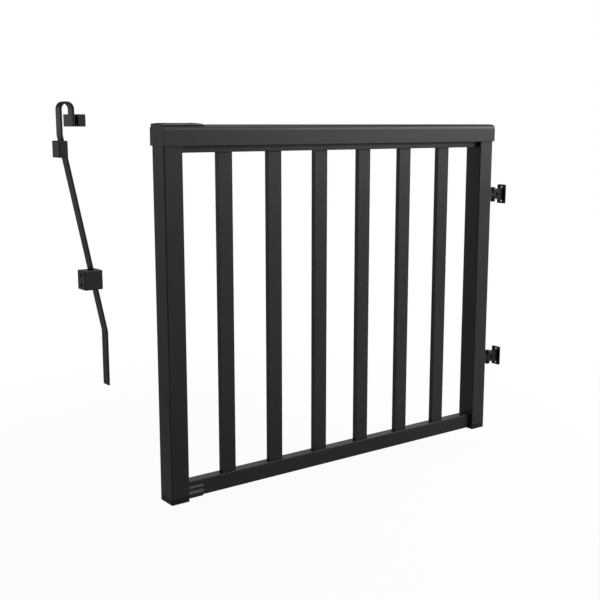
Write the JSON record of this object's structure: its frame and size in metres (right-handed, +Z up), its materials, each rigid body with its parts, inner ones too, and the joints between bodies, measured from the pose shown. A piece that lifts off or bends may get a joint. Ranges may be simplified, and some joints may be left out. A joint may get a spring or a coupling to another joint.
{
  "type": "picket gate",
  "caption": "Low picket gate in dark coated aluminium: flat pickets between rails under a crowned rail cap, on pin hinges, with a bent strap latch set beside it.",
  "frame": {"origin": "centre of the lower hinge's post face, where the leaf lies against the hinge post", "axes": "+X along the gate towards the hinge post, +Y from the gate's front to its back, +Z up"},
  "size_m": [1.3004, 0.0676, 0.887],
  "materials": {
    "gate_coat": "satin black powder coat",
    "cap_moulding": "moulded satin black",
    "hinge_coat": "black e-coat",
    "hinge_pin": "black oxide",
    "latch_coat": "satin black powder coat",
    "latch_moulding": "moulded matte black"
  },
  "bodies": {
    "post_hardware": {"lower_hinge_post_leaf": "hinge_coat", "upper_hinge_post_leaf": "hinge_coat", "lower_hinge_pin": "hinge_pin", "upper_hinge_pin": "hinge_pin", "latch_strap": "latch_coat", "latch_head": "latch_moulding", "upper_latch_guide": "latch_moulding", "lower_latch_guide": "latch_moulding"},
    "gate": {"left_stile": "gate_coat", "right_stile": "gate_coat", "rail_cap": "gate_coat", "top_rail": "gate_coat", "bottom_rail": "gate_coat", "picket_1": "gate_coat", "picket_2": "gate_coat", "picket_3": "gate_coat", "picket_4": "gate_coat", "picket_5": "gate_coat", "picket_6": "gate_coat", "left_foot_cap": "cap_moulding", "right_foot_cap": "cap_moulding", "left_cap_end": "cap_moulding", "right_cap_end": "cap_moulding", "left_rail_bracket": "gate_coat", "strike_plate": "gate_coat", "lower_hinge_gate_leaf": "hinge_coat", "upper_hinge_gate_leaf": "hinge_coat"}
  },
  "joints": [
    {"name": "gate_swing", "type": "hinge", "parent": "post_hardware", "child": "gate", "pos_m": [-0.036, 0, 0], "axis": [0, 0, 1], "range_deg": [-90, 90]}
  ]
}
